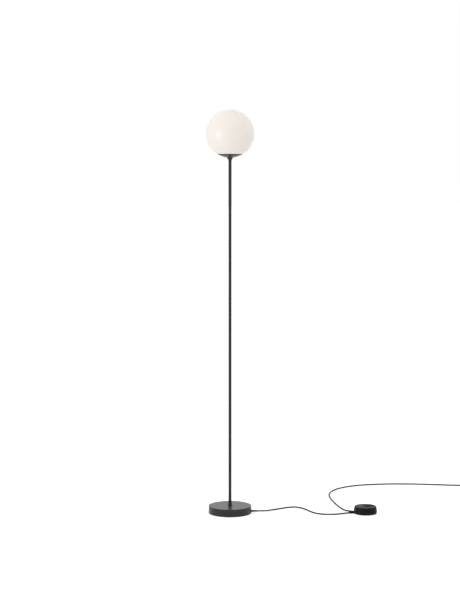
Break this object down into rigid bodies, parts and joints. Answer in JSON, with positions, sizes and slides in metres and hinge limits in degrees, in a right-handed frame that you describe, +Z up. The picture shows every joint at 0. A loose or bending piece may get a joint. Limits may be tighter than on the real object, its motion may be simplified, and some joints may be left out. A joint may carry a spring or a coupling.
{
  "type": "globe floor lamp",
  "caption": "Floor lamp with an opal glass globe on a thin straight rod, a round weighted base and a round foot dimmer in its cord.",
  "frame": {"origin": "on the floor under the centre of the base", "axes": "+Z up along the rod, +X from the base towards the foot dimmer, +Y away from the viewer"},
  "size_m": [1.2868, 0.8119, 1.687],
  "materials": {
    "graphite_paint": "satin",
    "opal_glass": "gloss",
    "raw_iron": "matte",
    "zinc_steel": "satin",
    "brass_metal": "satin",
    "nickel_plate": "gloss",
    "copper_winding": "satin",
    "black_plastic": "matte",
    "white_plastic": "satin",
    "frosted_plastic": "matte",
    "cord_sheath": "satin",
    "black_rubber": "matte",
    "felt_pad": "matte",
    "core_insulation": "satin",
    "circuit_board": "satin",
    "dark_glass": "gloss"
  },
  "bodies": {
    "lamp": {"base_cover": "graphite_paint", "base_weight": "raw_iron", "base_plate": "zinc_steel", "base_pad": "felt_pad", "base_screws": "zinc_steel", "base_nipple": "zinc_steel", "base_nut": "zinc_steel", "base_washer": "zinc_steel", "cord_gland": "black_rubber", "cord_clamp": "black_plastic", "cord_clamp_screws": "zinc_steel", "inner_cable": "cord_sheath", "rod_lower": "graphite_paint", "rod_upper": "graphite_paint", "rod_coupler": "zinc_steel", "foot_collar": "graphite_paint", "neck_collar": "graphite_paint", "globe_gasket": "black_rubber", "holder_dish": "graphite_paint", "globe_carrier": "zinc_steel", "globe_springs": "zinc_steel", "head_nipple": "zinc_steel", "head_washer": "zinc_steel", "head_nut": "zinc_steel", "lampholder_cap": "black_plastic", "lampholder_body": "black_plastic", "lampholder_insert": "white_plastic", "lampholder_shell": "brass_metal", "lampholder_contact": "brass_metal", "lampholder_wires": "core_insulation", "dimmer_cover": "black_plastic", "dimmer_base": "black_plastic", "dimmer_feet": "black_rubber", "dimmer_screws": "zinc_steel", "dimmer_relief_in": "black_rubber", "dimmer_relief_out": "black_rubber", "dimmer_cord_grip": "black_plastic", "dimmer_board": "circuit_board", "dimmer_pot": "black_plastic", "dimmer_choke": "copper_winding", "dimmer_terminals": "white_plastic", "dimmer_wires": "core_insulation", "cord_coil": "cord_sheath", "coil_tie": "black_plastic", "cord_to_dimmer": "cord_sheath", "cord_to_plug": "cord_sheath", "cord_tail": "cord_sheath", "plug_body": "black_plastic", "plug_pins": "nickel_plate", "plug_relief": "black_rubber"},
    "globe": {"globe": "opal_glass"},
    "bulb": {"bulb_cap": "nickel_plate", "bulb_insulator": "dark_glass", "bulb_tip": "brass_metal", "bulb_housing": "white_plastic", "bulb_led_board": "white_plastic", "bulb_diffuser": "frosted_plastic"},
    "switch": {"dimmer_plunger": "white_plastic"},
    "dial": {"dimmer_dial": "black_plastic", "dimmer_spindle": "zinc_steel"}
  },
  "joints": [
    {"name": "globe_lift", "type": "slide", "parent": "lamp", "child": "globe", "axis": [0, 0, 1], "range_m": [0, 0.17]},
    {"name": "bulb_draw", "type": "slide", "parent": "lamp", "child": "bulb", "axis": [0, 0, 1], "range_m": [0, 0.03]},
    {"name": "dimmer_press", "type": "slide", "parent": "lamp", "child": "switch", "axis": [0, 0, -1], "range_m": [0, 0.0015], "stiffness_N_per_m": 1500, "springref_m": -0.001},
    {"name": "dimmer_turn", "type": "hinge", "parent": "switch", "child": "dial", "pos_m": [0.5805, -0.01, 0.02], "axis": [0, 0, 1], "range_deg": [-135, 135]}
  ]
}
